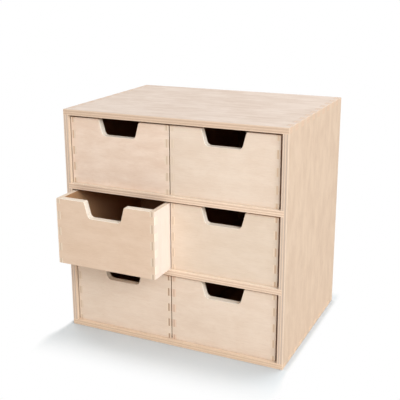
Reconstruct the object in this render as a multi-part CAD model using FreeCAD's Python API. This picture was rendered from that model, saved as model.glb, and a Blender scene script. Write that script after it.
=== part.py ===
import FreeCAD, Part
import os
from FreeCAD import Vector

# A desktop chest of six small drawers in birch plywood, in two columns of three, in millimetres.
# X runs along the front from left to right, the drawers open towards -Y, and Z is up.
# The origin is the middle of the underside. Every board is a solid of its own.

# The case: a box-jointed frame, two shelves in dadoes and a back in a rabbet
case_width = 300.0
case_depth = 223.0
case_height = 298.0
case_ply = 7.5
case_finger = 10.9
case_arris = 0.6
shelf_dado = 3.5
back_ply = 4.0
back_rabbet = 3.5

# The drawers: box-jointed trays with a thick front, each with a bottom let into grooves
front_ply = 9.0
drawer_ply = 6.0
drawer_finger = 10.5
drawer_arris = 0.3
bottom_ply = 3.0
groove_depth = 3.0
groove_rise = 2.2

# Room round the drawers in their bays, to the left of each one and to the right of the last
side_gap = 1.2
right_gap = 3.2
slide_gap = 0.3
head_gap = 2.6
front_setback = 4.0
stop_gap = 0.5

# The hand notch in the top edge of each drawer front
notch_mouth = 57.0
notch_base = 46.0
notch_depth = 21.0
notch_mouth_corner = 2.0
notch_base_corner = 6.0

# How far the middle drawer on the left stands open
pulled_out = 41.0

# Each cut runs past the faces that it opens, and two places this close together are the same place
overrun = 1.0
tolerance = 0.01

# The drawers' names give the rows and columns of the case
row_names = ("bottom", "middle", "top")
column_names = ("left", "right")
shelf_names = ("lower_shelf", "upper_shelf")
open_drawer = ("middle", "left")
rows = len(row_names)
columns = len(column_names)

# Places and sizes that follow from the ones above
case_left = -case_width / 2
case_right = case_width / 2
case_front = -case_depth / 2
case_back = case_depth / 2
inside_left = case_left + case_ply
inside_right = case_right - case_ply
inside_top = case_height - case_ply
inside_back = case_back - back_ply
bay_height = (inside_top - rows * case_ply) / rows
closed_front = case_front + front_setback
drawer_width = (inside_right - inside_left - columns * side_gap - right_gap) / columns
drawer_length = inside_back - stop_gap - closed_front
drawer_height = bay_height - slide_gap - head_gap


def block(x_low, x_high, y_low, y_high, z_low, z_high):
    """A solid box between two opposite corners."""
    corner = Vector(x_low, y_low, z_low)
    return Part.makeBox(x_high - x_low, y_high - y_low, z_high - z_low, corner)


def cut_all(board, cutters):
    """A board with each cutter's space taken out of it."""
    for cutter in cutters:
        board = board.cut(cutter)
    return board


def finger_bands(start, end, finger, first):
    """The bands that the fingers of a box joint take along an edge, as pairs of ends.

    The two boards of the joint own them in turn. The first band has a length of its own, and the last
    takes what is left."""
    bands = []
    low = start
    high = start + first
    while low < end - tolerance:
        bands.append((low, min(high, end)))
        low = high
        high = low + finger
    return bands


# The case

def eased_case():
    """The outline of the case with its arrises sanded off, which runs on over the boards' joints."""
    outline = block(case_left, case_right, case_front, case_back, 0, case_height)
    return outline.makeChamfer(case_arris, outline.Edges)


def bay_floor(row):
    """The height of the board that the drawers of a row stand on."""
    return case_ply + row * (bay_height + case_ply)


def shelf(row):
    """The shelf under a row. Its ends are let into the sides, and it is flush with the front."""
    ends = inside_right + shelf_dado
    return block(-ends, ends, case_front, inside_back, bay_floor(row) - case_ply, bay_floor(row))


def back_panel():
    """The back, in a rabbet all round the case and flush with its rear edges."""
    ends = inside_right + back_rabbet
    foot = case_ply - back_rabbet
    head = inside_top + back_rabbet
    return block(-ends, ends, inside_back, case_back, foot, head)


def case_fingers(x_low, x_high, z_low, z_high, owner):
    """The fingers that one board has at a corner of the case: the level boards' are 0, the sides' 1.

    The cutter works from the front edge, so the joint starts there with a whole finger of the level
    board and ends at the back with a short one."""
    bands = finger_bands(case_front, case_back, case_finger, case_finger)
    return [block(x_low, x_high, low, high, z_low, z_high) for low, high in bands[owner::2]]


def level_board(z_low, z_high):
    """The top or the bottom of the case, notched at both ends for the fingers of the sides."""
    board = block(case_left, case_right, case_front, case_back, z_low, z_high)
    board = cut_all(board, case_fingers(case_left, inside_left, z_low, z_high, 1))
    board = cut_all(board, case_fingers(inside_right, case_right, z_low, z_high, 1))
    return board.cut(back_panel()).common(eased_case())


def side_board(x_low, x_high):
    """A side of the case, with a dado for each shelf and fingers at its head and foot."""
    board = block(x_low, x_high, case_front, case_back, 0, case_height)
    board = cut_all(board, case_fingers(x_low, x_high, 0, case_ply, 0))
    board = cut_all(board, case_fingers(x_low, x_high, inside_top, case_height, 0))
    board = cut_all(board, [shelf(row) for row in range(1, rows)])
    return board.cut(back_panel()).common(eased_case())


def case_boards():
    """The boards of the case by name."""
    boards = {
        "case_bottom": level_board(0, case_ply),
        "case_top": level_board(inside_top, case_height),
        "case_left_side": side_board(case_left, inside_left),
        "case_right_side": side_board(inside_right, case_right),
        "back_panel": back_panel(),
    }
    for row, name in enumerate(shelf_names, start=1):
        boards[name] = shelf(row)
    return boards


# The drawers, drawn with their lowest left front corner at zero

def rounded_outline(corners, radii):
    """An outline through corners in the XZ plane: its ends stay sharp and each other one has a radius."""
    edges = []
    start = corners[0]
    for before, corner, after, radius in zip(corners, corners[1:], corners[2:], radii):
        back = (before - corner).normalize()
        ahead = (after - corner).normalize()
        inward = (back + ahead).normalize()
        cosine = inward.dot(back)
        sine = (1 - cosine ** 2) ** 0.5
        arc_start = corner + back * (radius * cosine / sine)
        arc_middle = corner + inward * (radius / sine - radius)
        arc_end = corner + ahead * (radius * cosine / sine)
        edges.append(Part.makeLine(start, arc_start))
        edges.append(Part.Arc(arc_start, arc_middle, arc_end).toShape())
        start = arc_end
    edges.append(Part.makeLine(start, corners[-1]))
    edges.append(Part.makeLine(corners[-1], corners[0]))
    return Part.Wire(edges)


def notch_cutter():
    """The hand notch through the front: wide at the mouth, its corners eased there and rounded below."""
    middle = drawer_width / 2
    shoulder = notch_mouth / 2 + 2 * notch_mouth_corner
    base = drawer_height - notch_depth
    corners = [
        Vector(middle - shoulder, -overrun, drawer_height),
        Vector(middle - notch_mouth / 2, -overrun, drawer_height),
        Vector(middle - notch_base / 2, -overrun, base),
        Vector(middle + notch_base / 2, -overrun, base),
        Vector(middle + notch_mouth / 2, -overrun, drawer_height),
        Vector(middle + shoulder, -overrun, drawer_height),
    ]
    radii = [notch_mouth_corner, notch_base_corner, notch_base_corner, notch_mouth_corner]
    opening = Part.Face(rounded_outline(corners, radii))
    return opening.extrude(Vector(0, front_ply + 2 * overrun, 0))


def is_sanded(edge):
    """Whether an edge of the tray is sanded: outside, on the rim and round the notch, but not underneath."""
    middle = edge.CenterOfMass
    from_sides = min(middle.x, drawer_width - middle.x)
    from_back = drawer_length - middle.y
    on_outside = min(from_sides, middle.y, from_back) < tolerance
    from_walls = (from_sides - drawer_ply, middle.y - front_ply, from_back - drawer_ply)
    on_inner_wall = min(abs(distance) for distance in from_walls) < tolerance
    on_rim = middle.z > drawer_height - tolerance
    in_notch = abs(middle.x - drawer_width / 2) < notch_mouth
    underneath = middle.z < tolerance
    return not underneath and (on_outside or (on_inner_wall and (on_rim or in_notch)))


def eased_tray():
    """The four walls of a drawer in one piece, sanded after gluing, from which each board is taken."""
    tray = block(0, drawer_width, 0, drawer_length, 0, drawer_height)
    hollow = block(
        drawer_ply,
        drawer_width - drawer_ply,
        front_ply,
        drawer_length - drawer_ply,
        -overrun,
        drawer_height + overrun,
    )
    tray = tray.cut(hollow).cut(notch_cutter())
    return tray.makeChamfer(drawer_arris, [edge for edge in tray.Edges if is_sanded(edge)])


def drawer_fingers(x_low, x_high, y_low, y_high, owner):
    """The fingers that one board has at a corner of a drawer: the sides' are 0, the front's and back's 1.

    An odd number of whole fingers leaves the sides a short one at the top and at the bottom."""
    whole = int(drawer_height // drawer_finger)
    whole = whole - 1 + whole % 2
    short = (drawer_height - whole * drawer_finger) / 2
    bands = finger_bands(0, drawer_height, drawer_finger, short)
    return [block(x_low, x_high, y_low, y_high, low, high) for low, high in bands[owner::2]]


def drawer_board(slab, corners, owner, bottom):
    """One wall of a drawer: its slab of the tray, less the other boards' fingers and the bottom's groove."""
    board = eased_tray().common(slab)
    for corner in corners:
        board = cut_all(board, drawer_fingers(*corner, 1 - owner))
    return board.cut(bottom)


def drawer_boards():
    """The boards of one drawer by name."""
    near = (0, front_ply)
    far = (drawer_length - drawer_ply, drawer_length)
    left = (0, drawer_ply)
    right = (drawer_width - drawer_ply, drawer_width)
    across = (0, drawer_width)
    along = (0, drawer_length)
    upright = (0, drawer_height)
    groove_z = (groove_rise, groove_rise + bottom_ply)
    bottom_x = (drawer_ply - groove_depth, drawer_width - drawer_ply + groove_depth)
    bottom_y = (front_ply - groove_depth, drawer_length - drawer_ply + groove_depth)
    # The grooves of the sides stop short of the fingers' ends, so nothing shows at the corners
    bottom = block(*bottom_x, *bottom_y, *groove_z)
    front_corners = (left + near, right + near)
    back_corners = (left + far, right + far)
    left_corners = (left + near, left + far)
    right_corners = (right + near, right + far)
    return {
        "front": drawer_board(block(*across, *near, *upright), front_corners, 1, bottom),
        "back": drawer_board(block(*across, *far, *upright), back_corners, 1, bottom),
        "left_side": drawer_board(block(*left, *along, *upright), left_corners, 0, bottom),
        "right_side": drawer_board(block(*right, *along, *upright), right_corners, 0, bottom),
        "bottom": bottom,
    }


def drawer_place(row, column):
    """Where a drawer's lowest left front corner stands in the case."""
    pull = pulled_out if (row_names[row], column_names[column]) == open_drawer else 0
    x_low = inside_left + side_gap + column * (drawer_width + side_gap)
    return Vector(x_low, closed_front - pull, bay_floor(row) + slide_gap)


os.makedirs("parts", exist_ok=True)

for name, board in case_boards().items():
    board.exportStep(f"parts/{name}.step")

one_drawer = drawer_boards()
for row in range(rows):
    for column in range(columns):
        for name, board in one_drawer.items():
            board = board.translated(drawer_place(row, column))
            board.exportStep(f"parts/{row_names[row]}_{column_names[column]}_drawer_{name}.step")

print("bay height", round(bay_height, 2))
print("drawer", round(drawer_width, 2), "by", round(drawer_length, 2), "by", round(drawer_height, 2))
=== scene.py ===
# %% [markdown]
# A desktop chest of six small drawers in birch plywood, ready to photograph.
# The real one is made of boards sawn from plywood of five thicknesses, box-jointed, glued and sanded. Its shape is
# already right in the frame that this script loads, down to the fingers of every joint, so no shape is added here.
# The work is the wood itself: what a sheet of birch plywood shows on its face, on its sawn edges and on the ends of
# its fingers. Then come white paper, soft light and a camera.
# Lengths are in metres. X runs along the front from left to right, the drawers open towards -Y, and Z is up.

# %% Load the fixed frame
import math

import bmesh
import bpy
from mathutils import Matrix, Vector


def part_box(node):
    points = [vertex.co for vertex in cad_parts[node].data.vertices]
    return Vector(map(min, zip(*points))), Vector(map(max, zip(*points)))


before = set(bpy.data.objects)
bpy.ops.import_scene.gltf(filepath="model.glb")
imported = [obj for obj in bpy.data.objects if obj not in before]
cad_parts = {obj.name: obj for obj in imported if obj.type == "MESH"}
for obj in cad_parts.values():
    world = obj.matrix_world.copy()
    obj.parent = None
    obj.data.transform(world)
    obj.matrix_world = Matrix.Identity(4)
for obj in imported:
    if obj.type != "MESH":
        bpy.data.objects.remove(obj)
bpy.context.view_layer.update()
MILLIMETRE = 0.001

# %% [markdown]
# The boards. Every sheet of plywood has three directions that matter: along the grain of its face veneer, across
# that grain, and through its thickness. One pattern serves all the boards, if each board says which of X, Y and Z
# plays which part. The face grain runs from left to right in the top, the shelves and the drawer fronts, and upright
# in the case's sides. It is upright in the drawers' sides and backs too: at their corners the photograph shows a dark
# core between two pale skins, and it is the veneer whose grain points at the viewer that looks dark.

# %% How each kind of board lies
X, Y, Z = 0, 1, 2
LAYS = {
    "case_top": (X, Y, Z),
    "case_bottom": (X, Y, Z),
    "shelf": (X, Y, Z),
    "case_left_side": (Z, Y, X),
    "case_right_side": (Z, Y, X),
    "back_panel": (Z, X, Y),
    "drawer_front": (X, Z, Y),
    "drawer_back": (Z, X, Y),
    "drawer_left_side": (Z, Y, X),
    "drawer_right_side": (Z, Y, X),
    "drawer_bottom": (Y, X, Z),
}


def kind_of(node):
    """The kind of board that a node is: its name ends in the kind's name."""
    return next(kind for kind in LAYS if node.endswith(kind))


def thickness_of(node):
    """The board's thickness, read off the frame."""
    low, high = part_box(node)
    depth_axis = LAYS[kind_of(node)][2]
    return (high - low)[depth_axis]


for kind in LAYS:
    sample = next(node for node in sorted(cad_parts) if kind_of(node) == kind)
    print(kind, "grain along", "XYZ"[LAYS[kind][0]], "thickness", round(thickness_of(sample) / MILLIMETRE, 2), "mm")

# %% [markdown]
# Nodes in few words. A shader with this much in it is long if every node takes five lines, so these helpers add a
# node, set it and link it in one. A value that is a socket is linked, and any other value is typed into the input.

# %% Helpers that write nodes


def feed(tree, socket, value):
    """Links a socket to the input, or types a plain value into it."""
    if isinstance(value, bpy.types.NodeSocket):
        tree.links.new(value, socket)
    else:
        socket.default_value = value


def add_node(tree, kind, inputs=None, **settings):
    """Adds a node with its settings, and feeds its inputs by name or number."""
    node = tree.nodes.new(kind)
    for name, value in settings.items():
        setattr(node, name, value)
    for key, value in (inputs or {}).items():
        feed(tree, node.inputs[key], value)
    return node


def calculate(tree, operation, *values, clamp=False):
    """One step of arithmetic."""
    node = tree.nodes.new("ShaderNodeMath")
    node.operation = operation
    node.use_clamp = clamp
    for socket, value in zip(node.inputs, values):
        feed(tree, socket, value)
    return node.outputs[0]


print("helpers for nodes:", ", ".join(helper.__name__ for helper in (feed, add_node, calculate)))

# %% [markdown]
# Vectors, ramps and mixes. Nearly everything that a pattern does is one of three things: a place is moved or
# stretched, a value is turned into a share from 0 to 1, or two things are mixed by such a share. Every ramp is a smooth
# step rather than a straight line, because a tone of wood has no edge where it starts.

# %% Helpers for vectors and mixes


def vector_step(tree, operation, first, second):
    """One step of arithmetic on vectors."""
    return add_node(tree, "ShaderNodeVectorMath", {0: first, 1: second}, operation=operation).outputs[0]


def combine(tree, x, y, z):
    """Three numbers as a vector."""
    return add_node(tree, "ShaderNodeCombineXYZ", {0: x, 1: y, 2: z}).outputs[0]


def separate(tree, vector):
    """A vector as three numbers."""
    return add_node(tree, "ShaderNodeSeparateXYZ", {0: vector}).outputs


def ramp(tree, value, start, end, low=0.0, high=1.0):
    """A smooth step from low, where value is at start, to high, where it is at end."""
    node = add_node(tree, "ShaderNodeMapRange", interpolation_type="SMOOTHSTEP")
    for socket, number in zip(node.inputs, (value, start, end, low, high)):
        feed(tree, socket, number)
    return node.outputs["Result"]


def mix_numbers(tree, share, first, second):
    """Two numbers mixed by a share."""
    return add_node(tree, "ShaderNodeMix", {0: share, 2: first, 3: second}).outputs[0]


def blend_colours(tree, share, first, second, way="MIX"):
    """Two colours mixed by a share, or multiplied and so on. A mix node has its colours in inputs 6 and 7."""
    inputs = {"Factor": share, 6: first, 7: second}
    settings = {"data_type": "RGBA", "blend_type": way, "clamp_factor": True}
    return add_node(tree, "ShaderNodeMix", inputs, **settings).outputs[2]


mixers = (vector_step, combine, separate, ramp, mix_numbers, blend_colours)
print("helpers for mixes:", ", ".join(helper.__name__ for helper in mixers))

# %% [markdown]
# Noise and colours. Wood is long one way, so the place is stretched before the noise reads it: few blobs to the
# metre along the grain, many across it. Colours are written as they look on screen, from 0 to 255, because that is
# how one judges them, and are turned into the linear values that a shader takes.

# %% Helpers for patterns and colours


def noise(tree, vector, scale, detail=2.0, roughness=0.5, distortion=0.0):
    """Noise from 0 to 1, around one half, with so many blobs to the metre in each direction."""
    inputs = {
        "Vector": vector_step(tree, "MULTIPLY", vector, scale),
        "Scale": 1.0,
        "Detail": detail,
        "Roughness": roughness,
        "Distortion": distortion,
    }
    return add_node(tree, "ShaderNodeTexNoise", inputs).outputs[0]


def colour(red, green, blue):
    """A colour as it looks on screen, from 0 to 255, turned into the linear value that a shader takes."""
    parts = [part / 255 for part in (red, green, blue)]
    linear = [part / 12.92 if part <= 0.04045 else ((part + 0.055) / 1.055) ** 2.4 for part in parts]
    return (*linear, 1.0)


print("half grey on screen is", round(colour(128, 128, 128)[0], 3), "to a shader")

# %% [markdown]
# Birch plywood. A birch log is peeled like a roll of paper, and the veneers are glued in a stack with the grain of
# every second one turned across. The faces show the peeled veneer, and a sawn edge shows the stack as stripes.
# It could be painted with one picture for faces and another for edges, but then every finger of every joint would
# need its own layout. A solid pattern does all of it at once: the veneer that a point lies in follows from how deep
# the point is in the board, and whether it shows face, side or end grain follows from which way the surface points.
# The pattern is one node group, so that the boards differ in a few inputs only.

# %% What a board tells the pattern
NUMBER_INPUTS = (
    "Along",
    "Across",
    "Depth",
    "Facing along",
    "Facing across",
    "Facing through",
    "Facing back",
    "Rim highlight",
    "Veneer thickness",
    "Seed",
    "Clouds",
    "Streaks",
)
COLOUR_INPUTS = ("Face wood", "Face shade", "Brown side and painted shade", "Edge wood", "End grain")
PATTERN_OUTPUTS = {"Color": "NodeSocketColor", "Roughness": "NodeSocketFloat", "Height": "NodeSocketFloat"}


def new_group(name):
    """An empty node group with its inputs and outputs."""
    group = bpy.data.node_groups.new(name, "ShaderNodeTree")
    for label in NUMBER_INPUTS:
        group.interface.new_socket(label, in_out="INPUT", socket_type="NodeSocketFloat")
    for label in COLOUR_INPUTS:
        group.interface.new_socket(label, in_out="INPUT", socket_type="NodeSocketColor")
    for label, kind in PATTERN_OUTPUTS.items():
        group.interface.new_socket(label, in_out="OUTPUT", socket_type=kind)
    return group


print("inputs", len(NUMBER_INPUTS) + len(COLOUR_INPUTS), "outputs", len(PATTERN_OUTPUTS))

# %% [markdown]
# The stack. A point's depth in the board, divided by the thickness of one veneer, gives the number of the veneer
# that it lies in, and what is left over says how near the next glue line is. Every second veneer is turned across.
# Each veneer could be a layer of its own, but that makes three to seven times as many pieces for the same stripes.
# Peeled veneer is never quite even, so the depth gets a slow waver first, or the glue lines would look ruled.

# %% The stack of veneers
WAVER_SCALE = (40, 40, 1)
WAVER = 0.16 * MILLIMETRE


def veneer_stack(tree, given):
    """Which veneer a point lies in, whether that veneer is turned across, and how near its glue line is."""
    waver = noise(tree, combine(tree, given["Along"], given["Across"], given["Seed"]), WAVER_SCALE, detail=1)
    waver = calculate(tree, "MULTIPLY_ADD", waver, WAVER, given["Depth"])
    layers = calculate(tree, "DIVIDE", waver, given["Veneer thickness"])
    index = calculate(tree, "FLOOR", layers)
    crossed = calculate(tree, "ABSOLUTE", calculate(tree, "MODULO", index, 2.0))
    from_glue = calculate(tree, "MULTIPLY", calculate(tree, "PINGPONG", layers, 0.5), given["Veneer thickness"])
    return index, crossed, from_glue


print("glue lines waver by", round(WAVER / MILLIMETRE, 2), "mm")

# %% [markdown]
# The face veneer. Birch is pale and plain: soft clouds and faint ring lines, where the peeling knife met the growth
# rings at a slant, with broken streaks, short flecks and fine fibres. A picture of wood would have to be cut off at
# every edge. So each figure is a noise of its own. Its scale is in blobs to the metre along the grain and, twice,
# across it, and what it shows is the band of the noise's values over which the figure comes in.
# The brown side of a sheet is the same figure under a browner tint, which is partly the veneer and partly painted
# shade.

# %% The face veneer
RING_SCALE = (4.5, 13, 13)
RING_BANDS, RING_SHARPNESS, RING_WEIGHT = 9.0, 2.5, 0.25
CLOUD_SCALE, CLOUD_SHOWS = (26, 58, 58), (0.28, 0.72)
STREAK_SCALE, STREAK_SHOWS = (9, 150, 150), (0.32, 0.70)
FLECK_SCALE, FLECK_SHOWS, FLECK_WEIGHT = (130, 1000, 1000), (0.52, 0.75), 0.35
FIBRE_SCALE, FIBRE_SHOWS, FIBRE_TONES = (45, 1500, 1500), (0.3, 0.75), (1.015, 0.975)
BACK_SHOWS = (0.80, 0.97)


def face_figure(tree, given, place, fibres):
    """The face veneer: faint ring lines, soft clouds, broken streaks, short flecks and fine fibres."""
    slow = noise(tree, place, RING_SCALE, detail=2, roughness=0.5, distortion=0.8)
    rings = calculate(tree, "PINGPONG", calculate(tree, "MULTIPLY", slow, RING_BANDS), 1.0)
    rings = calculate(tree, "POWER", rings, RING_SHARPNESS)
    clouds = noise(tree, place, CLOUD_SCALE, detail=4, roughness=0.65, distortion=0.3)
    clouds = calculate(tree, "MULTIPLY_ADD", rings, RING_WEIGHT, ramp(tree, clouds, *CLOUD_SHOWS))
    streaks = ramp(tree, noise(tree, place, STREAK_SCALE, detail=3, roughness=0.65), *STREAK_SHOWS)
    flecks = ramp(tree, noise(tree, place, FLECK_SCALE, detail=2, roughness=0.6), *FLECK_SHOWS)
    shade = calculate(tree, "MULTIPLY", clouds, given["Clouds"])
    shade = calculate(tree, "MULTIPLY_ADD", streaks, given["Streaks"], shade)
    shade = calculate(tree, "MULTIPLY_ADD", flecks, FLECK_WEIGHT, shade, clamp=True)
    face = blend_colours(tree, shade, given["Face wood"], given["Face shade"])
    # The brown side: a browner veneer and painted shade on inward faces and undersides.
    back = blend_colours(tree, 1.0, face, given["Brown side and painted shade"], "MULTIPLY")
    face = blend_colours(tree, ramp(tree, given["Facing back"], *BACK_SHOWS), face, back)
    return blend_colours(tree, 1.0, face, ramp(tree, fibres, *FIBRE_SHOWS, *FIBRE_TONES), "MULTIPLY")


for figure, scale in (("cloud", CLOUD_SCALE), ("streak", STREAK_SCALE), ("fleck", FLECK_SCALE)):
    print("a", figure, "is about", round(1 / scale[0] / MILLIMETRE), "mm long")

# %% [markdown]
# The sawn edge. A veneer whose grain runs out of the edge shows its open ends, which look darker, and its neighbours
# lie along the edge and look pale. So the share of end grain is how squarely the surface faces along the grain of the
# veneer at that point. Each veneer also has a tone of its own, fine specks stand for what the saw leaves, and a
# hair-thin glue line parts it from the next. Plain stripes would be simpler, but fingers that meet at a corner would
# then look alike, and it is their difference that shows a joint.

# %% The sawn edge
END_SHOWS = (0.25, 0.9)
VENEER_TONES = (0.965, 1.03)
VENEER_SEED = 3.3
SPECK_SCALE, SPECK_SHOWS, SPECK_TONES = (900, 900, 2600), (0.3, 0.72), (1.03, 0.955)
GLUE = colour(150, 108, 76)
GLUE_SHOWS, GLUE_SHARE = (0.16 * MILLIMETRE, 0.05 * MILLIMETRE), 0.3


def edge_figure(tree, given, stack, specks):
    """A sawn edge: open ends where a veneer's grain runs out of it, side grain elsewhere, and glue between them."""
    index, crossed, from_glue = stack
    ends = mix_numbers(tree, crossed, given["Facing along"], given["Facing across"])
    ends = ramp(tree, ends, *END_SHOWS)
    edge = blend_colours(tree, ends, given["Edge wood"], given["End grain"])
    tone_seed = calculate(tree, "ADD", index, calculate(tree, "MULTIPLY", given["Seed"], VENEER_SEED))
    tone = add_node(tree, "ShaderNodeTexWhiteNoise", {"W": tone_seed}, noise_dimensions="1D").outputs[0]
    edge = blend_colours(tree, 1.0, edge, ramp(tree, tone, 0.0, 1.0, *VENEER_TONES), "MULTIPLY")
    edge = blend_colours(tree, 1.0, edge, ramp(tree, specks, *SPECK_SHOWS, *SPECK_TONES), "MULTIPLY")
    glue = ramp(tree, from_glue, *GLUE_SHOWS, 0.0, GLUE_SHARE)
    return blend_colours(tree, glue, edge, GLUE), ends


print("glue lines", round(2 * GLUE_SHOWS[0] / MILLIMETRE, 2), "mm wide")

# %% [markdown]
# The veneer's own place, and the arris. Each veneer is a sheet of its own, so its figure is moved by its number in
# the stack, or all the plies would show the same figure. A sanded arris points halfway between two of the board's
# directions. That is enough to find it, with no edges picked by hand.

# %% Moved figures and sanded arrises
SHEET_STEP = 3.7
SHEET_SHIFT = (1.0, 1.37, 0.61)


def moved_place(tree, given, index):
    """The place in the board, moved by its veneer: each is a sheet of its own with a figure of its own."""
    sheet = calculate(tree, "MULTIPLY_ADD", index, SHEET_STEP, given["Seed"])
    place = combine(tree, given["Along"], given["Across"], given["Depth"])
    moved = vector_step(tree, "MULTIPLY", combine(tree, sheet, sheet, sheet), SHEET_SHIFT)
    return vector_step(tree, "ADD", place, moved)


def largest_facing(tree, given):
    """How squarely the surface points along one of the board's directions: a sanded arris points between two."""
    largest = calculate(tree, "MAXIMUM", given["Facing along"], given["Facing across"])
    return calculate(tree, "MAXIMUM", largest, given["Facing through"])


print("a sanded arris faces each of its two directions by", round(math.cos(math.radians(45)), 2))

# %% [markdown]
# The pattern, put together. Faces and sawn edges are mixed by how squarely the surface points through the stack. Then
# the wood is made paler on the arrises, partly as fresh sanded wood and partly as a painted highlight, and on the
# upward faces of a drawer's rim as a painted highlight of the light from above; that draws the outline of each board.
# Fibres, pores and specks also go into the roughness and into a fine relief, because a surface that only changes colour
# looks printed.

# %% The pattern, put together
PORE_SCALE, PORE_SHOWS = (330, 3600, 3600), (0.66, 0.78)
EDGE_SHOWS = (0.97, 0.80)
ARRIS_SHOWS, ARRIS_HIGHLIGHT_SHARE = (0.95, 0.80), 0.2
# Pale sanded wood, also used as a painted highlight on arrises and on rims that face up.
SANDED_AND_HIGHLIGHT = colour(252, 240, 224)
FACE_ROUGHNESS, EDGE_ROUGHNESS, FIBRE_ROUGHNESS = 0.66, 0.78, 0.10
PORE_DEPTH = FIBRE_DEPTH = END_DEPTH = 0.5


def build_plywood():
    """The group: from a place in the board and the way the surface points, to colour, roughness and height."""
    group = new_group("birch_plywood")
    source = group.nodes.new("NodeGroupInput")
    given = {socket.name: socket for socket in source.outputs if socket.name}
    stack = veneer_stack(group, given)
    place = moved_place(group, given, stack[0])
    fibres = noise(group, place, FIBRE_SCALE, detail=3, roughness=0.65)
    pores = ramp(group, noise(group, place, PORE_SCALE, detail=1), *PORE_SHOWS)
    specks = noise(group, place, SPECK_SCALE, detail=3, roughness=0.7)
    face = face_figure(group, given, place, fibres)
    edge, ends = edge_figure(group, given, stack, specks)

    on_edge = ramp(group, given["Facing through"], *EDGE_SHOWS)
    finish = blend_colours(group, on_edge, face, edge)
    # Painted highlight: rims that face up and the arrises turn paler.
    finish = blend_colours(group, given["Rim highlight"], finish, SANDED_AND_HIGHLIGHT)
    arris_highlight = ramp(group, largest_facing(group, given), *ARRIS_SHOWS, 0.0, ARRIS_HIGHLIGHT_SHARE)
    finish = blend_colours(group, arris_highlight, finish, SANDED_AND_HIGHLIGHT)

    rough = mix_numbers(group, on_edge, FACE_ROUGHNESS, EDGE_ROUGHNESS)
    roughness = calculate(group, "MULTIPLY_ADD", fibres, FIBRE_ROUGHNESS, rough)
    grain = calculate(group, "MULTIPLY_ADD", pores, -PORE_DEPTH, calculate(group, "MULTIPLY", fibres, FIBRE_DEPTH))
    sawn = calculate(group, "MULTIPLY_ADD", ends, -END_DEPTH, specks)
    height = mix_numbers(group, on_edge, grain, sawn)
    add_node(group, "NodeGroupOutput", {"Color": finish, "Roughness": roughness, "Height": height})
    return group


plywood_pattern = build_plywood()
print("plywood pattern", len(plywood_pattern.nodes), "nodes")

# %% [markdown]
# The sheets that the boards are sawn from. Boards from different sheets never match: on the photographed chest the top
# is a little pinker, the case's right side is browner, and the drawers' long sides are the palest wood. Most boards are
# browner on their inward faces and undersides. This is partly a plainer, browner veneer on one side of the sheet, which
# the maker turns in, and partly painted shade, since those faces lie in the chest's shade. Which side that is depends
# on how the board stands, so each kind says whether its brown side points to the high or the low end of its axis.
# Each kind of board has its own sheet: two tones of the face veneer, side grain and end grain of the edges, the number
# of veneers, how strong the clouds and streaks are, and how much paler its sanded rim is.
# One colour for the whole chest would be simpler, but then the joints, which show as steps in tone, would be lost.

# %% Sheets of the case
HIGH_SIDE, LOW_SIDE, NEITHER = 1, -1, 0
# Brown tint of the inward faces and undersides: partly a browner veneer, partly painted shade.
BROWN_SIDE_AND_SHADE = colour(208, 170, 132)
THIN_PLY = {
    "face": ((226, 198, 170), (206, 172, 140)),
    "edge": (230, 203, 178),
    "end": (205, 175, 148),
    "veneers": 3,
    "figure": (0.7, 0.4),
}
CASE_EDGES = {"edge": (233, 208, 186), "end": (208, 187, 172), "veneers": 5}
SHEETS = {
    "case_top": {
        "face": ((230, 215, 204), (209, 189, 174)),
        "edge": (228, 201, 178),
        "end": (217, 188, 164),
        "veneers": 5,
        "figure": (0.55, 0.3),
        "back": LOW_SIDE,
    },
    "case_bottom": {
        "face": ((243, 222, 200), (232, 207, 183)),
        "edge": (234, 207, 182),
        "end": (221, 193, 168),
        "veneers": 5,
        "figure": (0.6, 0.4),
        "back": LOW_SIDE,
    },
    "shelf": {
        "face": ((254, 240, 223), (247, 228, 208)),
        "edge": (244, 218, 196),
        "end": (226, 197, 173),
        "veneers": 5,
        "figure": (0.6, 0.3),
        "back": LOW_SIDE,
    },
    "case_left_side": {
        **CASE_EDGES,
        "face": ((242, 223, 202), (230, 206, 182)),
        "figure": (0.5, 0.2),
        "back": NEITHER,
    },
    "case_right_side": {
        **CASE_EDGES,
        "face": ((223, 200, 178), (207, 181, 159)),
        "figure": (0.6, 0.2),
        "back": LOW_SIDE,
    },
    "back_panel": {
        **THIN_PLY,
        "face": ((234, 210, 185), (220, 192, 164)),
        "figure": (0.55, 0.25),
        "back": LOW_SIDE,
    },
}
print("sheets of the case", len(SHEETS))

# %% [markdown]
# The drawers' sheets. The fronts are the thickest boards, with seven veneers and the palest edges. The other walls are
# thin and plain, and their rims, made paler by a painted highlight where they face up, are what the eye follows round
# an open drawer. The three kinds of wall are one sheet, written once, and differ only in the side that is brown and
# shaded.

# %% Sheets of the drawers
DRAWER_SIDE = {
    "face": ((249, 236, 226), (243, 227, 215)),
    "edge": (238, 217, 196),
    "end": (222, 199, 177),
    "veneers": 3,
    "figure": (0.5, 0.2),
    "rim": 0.55,
}
SHEETS["drawer_front"] = {
    "face": ((240, 221, 204), (225, 200, 179)),
    "edge": (255, 247, 236),
    "end": (254, 242, 226),
    "veneers": 7,
    "figure": (0.45, 0.12),
    "rim": 0.3,
    "back": HIGH_SIDE,
}
SHEETS["drawer_back"] = {**DRAWER_SIDE, "back": LOW_SIDE}
SHEETS["drawer_left_side"] = {**DRAWER_SIDE, "back": HIGH_SIDE}
SHEETS["drawer_right_side"] = {**DRAWER_SIDE, "back": LOW_SIDE}
SHEETS["drawer_bottom"] = {**THIN_PLY, "back": HIGH_SIDE}
print("sheets in all", len(SHEETS))

# %% [markdown]
# Single boards. Boards of one kind come from different sheets too. The fingers hardly show at most corners, and stand
# out darkly where the two lower drawers meet. A random tone for each board would give variety, but not the look of
# this chest, so the boards that differ are named here, with just the values that differ.

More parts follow.
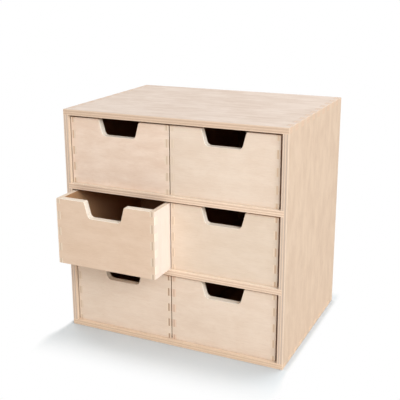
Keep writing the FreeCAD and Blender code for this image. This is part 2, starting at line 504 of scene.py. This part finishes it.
# %% Single boards that differ from their kind
ODD_BOARDS = {
    "top_left_drawer_front": {"face": ((247, 225, 208), (232, 204, 183)), "figure": (0.7, 0.15)},
    "top_left_drawer_left_side": {"end": (214, 181, 155)},
    "top_left_drawer_right_side": {"end": (224, 197, 172)},
    "top_right_drawer_left_side": {"end": (232, 210, 189)},
    "top_right_drawer_right_side": {"end": (224, 195, 167)},
    "middle_left_drawer_front": {"face": ((235, 209, 187), (221, 190, 164))},
    "middle_left_drawer_right_side": {"end": (212, 184, 161)},
    "middle_right_drawer_front": {"face": ((235, 216, 198), (221, 198, 176))},
    "middle_right_drawer_right_side": {"end": (214, 182, 154)},
    "bottom_left_drawer_right_side": {"end": (190, 156, 133)},
    "bottom_right_drawer_left_side": {"edge": (238, 211, 190), "end": (221, 188, 165)},
    "bottom_right_drawer_right_side": {"end": (226, 197, 169)},
}
print("boards with a tone of their own", len([node for node in ODD_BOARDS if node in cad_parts]))

# %% [markdown]
# Painted seam shade. Little light gets into the seams between closed drawers, so they look brown rather than grey, and
# that shade is painted into the wood: on a closed drawer, the first millimetres of the faces that point left or right
# are darkened. The open drawer's corners stay clean, so the open drawer, and the drawers' backs, are left out.

# %% Painted shade in the seams between closed drawers
SEAM_SHADE = colour(172, 136, 106)
SEAM_SHADE_DEPTH = 3.0 * MILLIMETRE
FADES_FROM = 0.6
SIDEWAYS_SHOWS = (0.98, 0.995)
OPEN_DRAWER = "middle_left_drawer"


def painted_seam_shade(tree, node, place, facing, wood):
    """Paints shade into a closed drawer's seams: darkens the first millimetres of what faces left or right."""
    drawer = node[: node.index("_drawer") + len("_drawer")]
    if drawer == OPEN_DRAWER or kind_of(node) == "drawer_back":
        return wood
    front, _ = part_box(drawer + "_front")
    from_front = calculate(tree, "SUBTRACT", place[Y], front.y)
    near = ramp(tree, from_front, SEAM_SHADE_DEPTH, SEAM_SHADE_DEPTH * FADES_FROM)
    sideways = ramp(tree, calculate(tree, "ABSOLUTE", facing[X]), *SIDEWAYS_SHOWS)
    return blend_colours(tree, calculate(tree, "MULTIPLY", near, sideways), wood, SEAM_SHADE, "MULTIPLY")


# The depth of the painted seam shade.
print("corners handled", round(SEAM_SHADE_DEPTH / MILLIMETRE, 1), "mm deep")

# %% [markdown]
# What one board tells the pattern. Object coordinates give the place, and they stay with the board when its drawer
# slides. Every board is cut from its own stretch of veneer, so each has a seed that moves the pattern: with one seed
# for all, the same figure would come back on all six fronts, and the eye finds that at once.

# %% The values of one board
FIRST_SEED, SEED_STEP = 1.0, 2.3
RIM_HIGHLIGHT_SHOWS = (0.6, 0.9)


def pattern_values(tree, node, number, place, facing):
    """What one board tells the pattern."""
    kind = kind_of(node)
    sheet = {**SHEETS[kind], **ODD_BOARDS.get(node, {})}
    low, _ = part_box(node)
    along, across, through = LAYS[kind]
    return {
        "Along": place[along],
        "Across": place[across],
        "Depth": calculate(tree, "SUBTRACT", place[through], low[through]),
        "Facing along": calculate(tree, "ABSOLUTE", facing[along]),
        "Facing across": calculate(tree, "ABSOLUTE", facing[across]),
        "Facing through": calculate(tree, "ABSOLUTE", facing[through]),
        "Facing back": calculate(tree, "MULTIPLY", facing[through], sheet["back"]),
        # Painted highlight on the faces of a drawer that point up.
        "Rim highlight": ramp(tree, facing[Z], *RIM_HIGHLIGHT_SHOWS, 0.0, sheet.get("rim", 0.0)),
        "Veneer thickness": thickness_of(node) / sheet["veneers"],
        "Seed": FIRST_SEED + SEED_STEP * number,
        "Clouds": sheet["figure"][0],
        "Streaks": sheet["figure"][1],
        "Face wood": colour(*sheet["face"][0]),
        "Face shade": colour(*sheet["face"][1]),
        "Brown side and painted shade": BROWN_SIDE_AND_SHADE,
        "Edge wood": colour(*sheet["edge"]),
        "End grain": colour(*sheet["end"]),
    }


print("seeds from", FIRST_SEED, "to", round(FIRST_SEED + SEED_STEP * (len(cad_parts) - 1), 1))

# %% [markdown]
# One material for each board. The wood is bare and sanded, so the surface is rough, has little gloss and gets the
# pattern's fine relief. The boards keep the meshes of the frame and only change their material. One material for all
# of them could read the board from the object, but the values of each board would then be hidden in the node tree.

# %% Materials for the boards
RELIEF, RELIEF_HEIGHT = 0.35, 0.12 * MILLIMETRE
BARE_WOOD_GLOSS = 0.22


def board_material(node, number):
    """The plywood pattern laid into one board."""
    material = bpy.data.materials.new("birch_" + node)
    material.use_nodes = True
    tree = material.node_tree
    tree.nodes.clear()
    here = add_node(tree, "ShaderNodeTexCoord")
    place = separate(tree, here.outputs["Object"])
    facing = separate(tree, here.outputs["Normal"])
    values = pattern_values(tree, node, number, place, facing)
    pattern = add_node(tree, "ShaderNodeGroup", node_tree=plywood_pattern)
    for name, value in values.items():
        feed(tree, pattern.inputs[name], value)
    wood = pattern.outputs["Color"]
    # Closed drawers get painted shade in their seams.
    if "_drawer" in node:
        wood = painted_seam_shade(tree, node, place, facing, wood)
    relief = {"Height": pattern.outputs["Height"], "Strength": RELIEF, "Distance": RELIEF_HEIGHT}
    bump = add_node(tree, "ShaderNodeBump", relief)
    surface = add_node(tree, "ShaderNodeBsdfPrincipled")
    surface.inputs["Specular IOR Level"].default_value = BARE_WOOD_GLOSS
    feed(tree, surface.inputs["Base Color"], wood)
    feed(tree, surface.inputs["Roughness"], pattern.outputs["Roughness"])
    feed(tree, surface.inputs["Normal"], bump.outputs["Normal"])
    add_node(tree, "ShaderNodeOutputMaterial", {"Surface": surface.outputs[0]})
    return material


for number, node in enumerate(sorted(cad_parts)):
    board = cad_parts[node]
    board.data.materials.clear()
    board.data.materials.append(board_material(node, number))
print("materials", len(bpy.data.materials))

# %% [markdown]
# The floor. Product pictures like this one are shot on white paper that runs on behind the object, so that the
# only thing under the chest is its own soft shadow. A real sheet of paper is never lit evenly, and a lamp strong
# enough to whiten all of it would bleach the wood. So close round the chest the paper is plain matt white and takes
# the shadow, and a hand's width further out the camera sees it fade to pure white, as the world behind it is.
# In the photograph the shadow is long in front and short beside the chest, so the distance from the chest counts
# several times over at its sides and behind it.

# %% How far the shadow reaches
SHADOW_REACH, WHITE_FROM = 0.022, 0.095
LEFT, RIGHT, BEFORE, BEHIND = 12.0, 10.0, 5.0, 3.0
CORNER_FADE = 0.05
_, case_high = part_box("case_bottom")


def distance_from_chest(tree):
    """How far a floor point is from the case's foot, counted longer beside it, and how far ahead of it."""
    here = add_node(tree, "ShaderNodeTexCoord").outputs["Object"]
    sides = add_node(tree, "ShaderNodeVectorMath", {0: here}, operation="ABSOLUTE").outputs[0]
    beyond = vector_step(tree, "SUBTRACT", sides, (case_high.x, case_high.y, 0.0))
    beyond = vector_step(tree, "MAXIMUM", beyond, (0.0, 0.0, 0.0))
    ahead = separate(tree, beyond)[Y]
    place = separate(tree, here)
    on_right = calculate(tree, "GREATER_THAN", place[X], 0.0)
    at_back = calculate(tree, "GREATER_THAN", place[Y], 0.0)
    beside = mix_numbers(tree, on_right, LEFT, RIGHT)
    sideways = mix_numbers(tree, ramp(tree, ahead, 0.0, CORNER_FADE), beside, BEFORE)
    lengthways = mix_numbers(tree, at_back, 1.0, BEHIND)
    beyond = vector_step(tree, "MULTIPLY", beyond, combine(tree, sideways, lengthways, 1.0))
    distance = add_node(tree, "ShaderNodeVectorMath", {0: beyond}, operation="LENGTH").outputs["Value"]
    return distance, ahead


print("the shadow fades from", round(SHADOW_REACH / MILLIMETRE), "to", round(WHITE_FROM / MILLIMETRE), "mm in front")

# %% [markdown]
# White paper. Right under the chest's edges hardly any light gets in, and a dark line there is what seats an object on
# its floor. Soft boxes alone leave that line weak, so a contact shadow is painted into the paper's colour: it is darker
# where an ambient occlusion node finds something close above it. A bottom drawer that is pulled right out leaves the
# zone in which paper takes shadows, so the paper, with its painted shadow, stays under it wherever it is hidden.
# Only the camera sees these tones. Light that bounces off the paper to the wood meets one plain near-white.

# %% White paper
WHITE = (1.0, 1.0, 1.0, 1.0)
OPEN_PAPER = colour(239, 246, 251)
PAINTED_CONTACT_SHADOW = colour(170, 178, 187)
BOUNCING_PAPER = colour(242, 240, 236)
CONTACT_REACH, CONTACT_SAMPLES = 0.08, 16
HIDDEN_SHOWS = (0.15, 0.55)
AHEAD_SHOWS = (0.02, 0.06)


def seen_directly(tree):
    """One where the camera looks, also by way of a gloss or a clear body, and zero for light that only bounces."""
    path = add_node(tree, "ShaderNodeLightPath").outputs
    seen = calculate(tree, "MAXIMUM", path["Is Camera Ray"], path["Is Glossy Ray"])
    return calculate(tree, "MAXIMUM", seen, path["Is Transmission Ray"])


def paper_material():
    """White paper that takes shadows near the chest, with a painted contact shadow, and is pure white further out."""
    material = bpy.data.materials.new("white_paper")
    material.use_nodes = True
    tree = material.node_tree
    tree.nodes.clear()
    seen = seen_directly(tree)
    contact = {"Distance": CONTACT_REACH}
    open_sky = add_node(tree, "ShaderNodeAmbientOcclusion", contact, samples=CONTACT_SAMPLES).outputs["AO"]
    hidden = calculate(tree, "MULTIPLY", calculate(tree, "SUBTRACT", 1.0, open_sky), seen)
    # Painted contact shadow: the paper is darker where the chest is close above it.
    tone = blend_colours(tree, hidden, OPEN_PAPER, PAINTED_CONTACT_SHADOW)
    tone = blend_colours(tree, seen, BOUNCING_PAPER, tone)
    paper = add_node(tree, "ShaderNodeBsdfDiffuse", {"Color": tone}).outputs[0]
    white = add_node(tree, "ShaderNodeEmission", {"Color": WHITE, "Strength": 1.0}).outputs[0]
    distance, ahead = distance_from_chest(tree)
    under_drawer = calculate(tree, "MULTIPLY", ramp(tree, hidden, *HIDDEN_SHOWS), ramp(tree, ahead, *AHEAD_SHOWS))
    far = ramp(tree, distance, SHADOW_REACH, WHITE_FROM)
    far = calculate(tree, "MULTIPLY", far, calculate(tree, "SUBTRACT", 1.0, under_drawer))
    share = calculate(tree, "MULTIPLY", far, seen)
    mixed = add_node(tree, "ShaderNodeMixShader", {0: share, 1: paper, 2: white}).outputs[0]
    add_node(tree, "ShaderNodeOutputMaterial", {"Surface": mixed})
    return material


white_paper = paper_material()
print("white paper", len(white_paper.node_tree.nodes), "nodes")

# %% [markdown]
# The sheet itself. In a studio it curves up behind the object. A flat one that is far larger than the view looks the
# same from every side, because the world beyond it is the same white.

# %% The floor
FLOOR_SIZE = 40.0


def floor():
    """A large sheet of the paper, level with the chest's foot."""
    sheet = bmesh.new()
    bmesh.ops.create_grid(sheet, x_segments=1, y_segments=1, size=FLOOR_SIZE / 2)
    mesh = bpy.data.meshes.new("floor")
    sheet.to_mesh(mesh)
    sheet.free()
    mesh.materials.append(white_paper)
    made = bpy.data.objects.new("floor", mesh)
    bpy.context.scene.collection.objects.link(made)
    return made


print("floor", floor().dimensions.x, "m wide")

# %% [markdown]
# The room. A white room fills the shadows from all sides. The world does that: the camera sees it as pure white, and
# the wood gets about a third of that light. It is a trace warm, as light is that has met bare wood and walls.

# %% The white room
SKY_LIGHT = 0.31
SKY_TINT = (1.0, 0.955, 0.885, 1.0)
world = bpy.data.worlds.new("studio")
bpy.context.scene.world = world
world.use_nodes = True
sky = world.node_tree
sky.nodes.clear()
strength = calculate(sky, "MULTIPLY_ADD", seen_directly(sky), 1.0 - SKY_LIGHT, SKY_LIGHT)
sky_tone = blend_colours(sky, seen_directly(sky), SKY_TINT, WHITE)
backdrop = add_node(sky, "ShaderNodeBackground", {"Color": sky_tone, "Strength": strength}).outputs[0]
add_node(sky, "ShaderNodeOutputWorld", {"Surface": backdrop})
print("sky light", SKY_LIGHT)

# %% [markdown]
# The lamps. The light in the picture is soft and comes from the front right and from above: the side of the open
# drawer and the left walls of the notches are the brightest wood, and the front and the case's side are nearly even.
# One large soft box on the right and a weaker one in front do that. Two more behind the chest keep the top and the
# far sides from going dull. One strong lamp would draw hard edges on the floor, which the picture doesn't have.

# %% Soft boxes
CHEST_MIDDLE = Vector((0.0, 0.0, 0.15))
DAYLIGHT, PLAIN_LIGHT = (0.955, 0.985, 1.0), (1.0, 1.0, 1.0)
SOFT_BOXES = {
    "key_right": {"place": (1.75, -1.11, 1.24), "size": 1.08, "watts": 32.6, "tint": DAYLIGHT},
    "front": {"place": (0.1, -1.6, 1.2), "size": 1.0, "watts": 7.4, "tint": DAYLIGHT},
    "top_rear_right": {"place": (0.45, 0.65, 1.35), "size": 1.0, "watts": 8.5, "tint": PLAIN_LIGHT},
    "rear_left": {"place": (-1.3, 0.9, 1.1), "size": 1.0, "watts": 7.0, "tint": PLAIN_LIGHT},
}


def soft_box(name, place, size, watts, tint):
    """A large square lamp at a place, turned towards the middle of the chest."""
    lamp = bpy.data.lights.new(name, "AREA")
    lamp.color = tint
    lamp.shape = "SQUARE"
    lamp.size = size
    lamp.energy = watts
    made = bpy.data.objects.new(name, lamp)
    turn = (CHEST_MIDDLE - Vector(place)).to_track_quat("-Z", "Y").to_matrix().to_4x4()
    made.matrix_world = Matrix.Translation(place) @ turn
    bpy.context.scene.collection.objects.link(made)


for name, lamp in SOFT_BOXES.items():
    soft_box(name, **lamp)
    print(name, lamp["watts"], "W")

# %% [markdown]
# The camera. The picture was taken from the right of the chest and a little above it, with a long lens. The place,
# the turns and the focal length were fitted to the corners of the chest as the picture shows them. The picture's
# upright lines were straightened a little, and a small shift of the lens follows that as far as its framing needs.

# %% Camera
IMAGE_SIDE_PX = 400.0
FOCAL_PX = 761.41
SHIFT_PX = (20.0, -20.0)
CAMERA_PLACE = Vector((0.40468, -0.90306, 0.46947))
AZIMUTH, ELEVATION, ROLL = 26.22, 15.60, -0.57
SENSOR = 36.0
NEAREST, FURTHEST = 0.05, 100.0


def camera():
    """A camera that looks back along its azimuth and elevation, with a little roll."""
    azimuth, elevation, roll = (math.radians(angle) for angle in (AZIMUTH, ELEVATION, ROLL))
    level = Vector((math.sin(azimuth), -math.cos(azimuth), 0.0))
    back = level * math.cos(elevation) + Vector((0.0, 0.0, math.sin(elevation)))
    right = Vector((0.0, 0.0, 1.0)).cross(back).normalized()
    up = back.cross(right)
    turned_right = right * math.cos(roll) + up * math.sin(roll)
    turned_up = up * math.cos(roll) - right * math.sin(roll)
    lens = bpy.data.cameras.new("camera")
    lens.sensor_width = SENSOR
    lens.lens = FOCAL_PX / IMAGE_SIDE_PX * SENSOR
    lens.shift_x = SHIFT_PX[0] / IMAGE_SIDE_PX
    lens.shift_y = SHIFT_PX[1] / IMAGE_SIDE_PX
    lens.clip_start, lens.clip_end = NEAREST, FURTHEST
    made = bpy.data.objects.new("camera", lens)
    turn = Matrix((turned_right, turned_up, back)).transposed().to_4x4()
    made.matrix_world = Matrix.Translation(CAMERA_PLACE) @ turn
    bpy.context.scene.collection.objects.link(made)
    bpy.context.scene.camera = made
    return made


print("lens", round(camera().data.lens, 1), "mm")
bpy.context.scene.view_settings.view_transform = "Standard"
